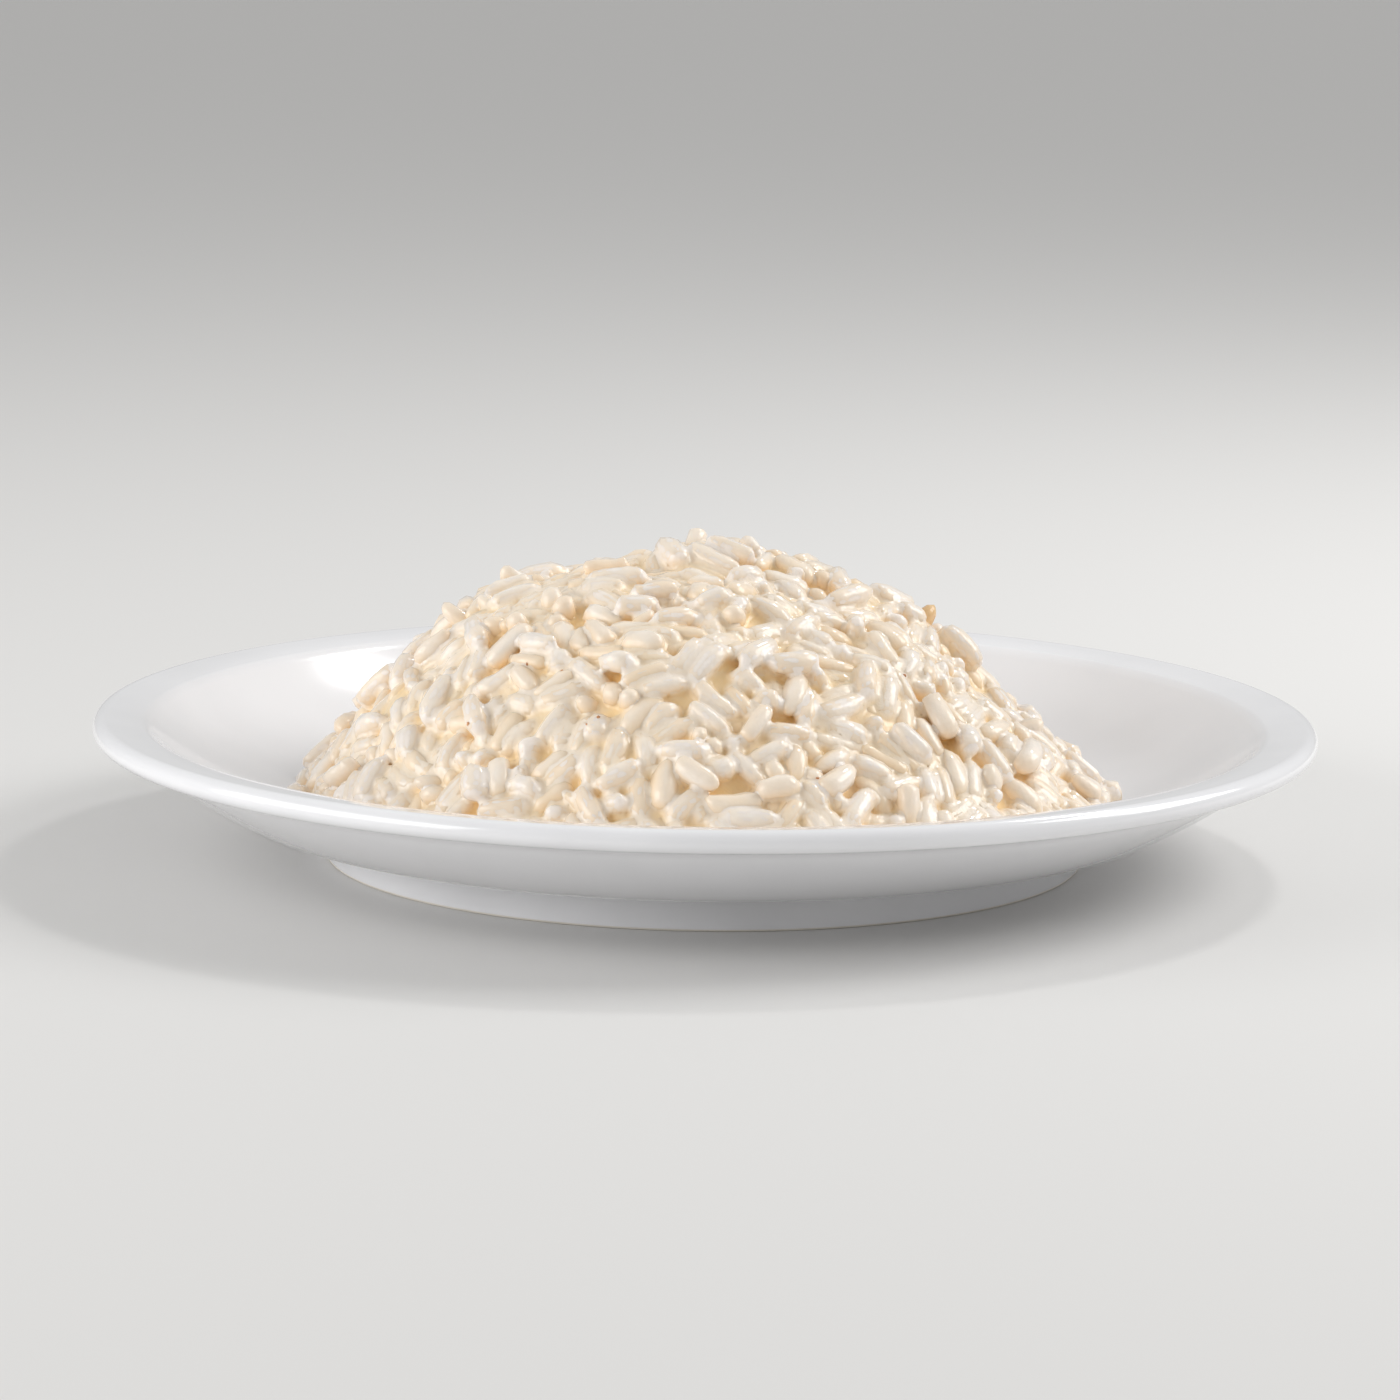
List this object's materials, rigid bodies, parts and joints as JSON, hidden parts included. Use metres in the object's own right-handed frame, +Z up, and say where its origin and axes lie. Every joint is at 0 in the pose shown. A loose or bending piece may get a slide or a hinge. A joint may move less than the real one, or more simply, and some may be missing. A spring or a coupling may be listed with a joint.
{
  "type": "parmesan risotto on a plate",
  "caption": "Domed heap of creamy cooked risotto rice on a round white porcelain plate with a shallow well, narrow sloping rim and foot ring.",
  "frame": {"origin": "centre of the plate's foot, on the plane the plate stands on", "axes": "+Z up along the plate's axis of revolution, -Y towards the viewer, +X to the viewer's right"},
  "size_m": [0.24, 0.24, 0.0596],
  "materials": {
    "porcelain": "smooth cool-white gloss glaze",
    "risotto": "creamy ivory rice coated with glossy cheese sauce"
  },
  "bodies": {
    "root": {"plate": "porcelain", "risotto": "risotto"}
  },
  "joints": []
}
